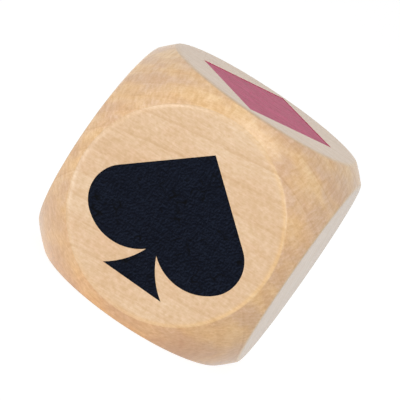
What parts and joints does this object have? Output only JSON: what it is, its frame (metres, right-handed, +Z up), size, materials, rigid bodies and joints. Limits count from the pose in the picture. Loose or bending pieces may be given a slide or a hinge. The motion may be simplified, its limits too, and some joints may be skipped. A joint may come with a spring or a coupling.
{
  "type": "wooden card suit die",
  "caption": "Light hardwood cube tumbled against a ball, so each side is a round flat, with card suits stamped in black and red ink for drawing or marking a suit in a game.",
  "frame": {"origin": "middle of the bare round flat that the cube stands on", "axes": "+Z up through the flat with the diamond, -Y forward through the flat with the spade (its point up, towards +Z), +X to the right through the second bare flat"},
  "size_m": [0.03, 0.03, 0.03],
  "materials": {
    "maple": "fine sanded, satin clear lacquer",
    "black_ink": "satin stamped ink, grainy",
    "red_ink": "satin stamped ink, grainy"
  },
  "bodies": {
    "root": {"wooden_cube": "maple", "spade_ink": "black_ink", "diamond_ink": "red_ink", "heart_ink": "red_ink", "club_ink": "black_ink"}
  },
  "joints": []
}
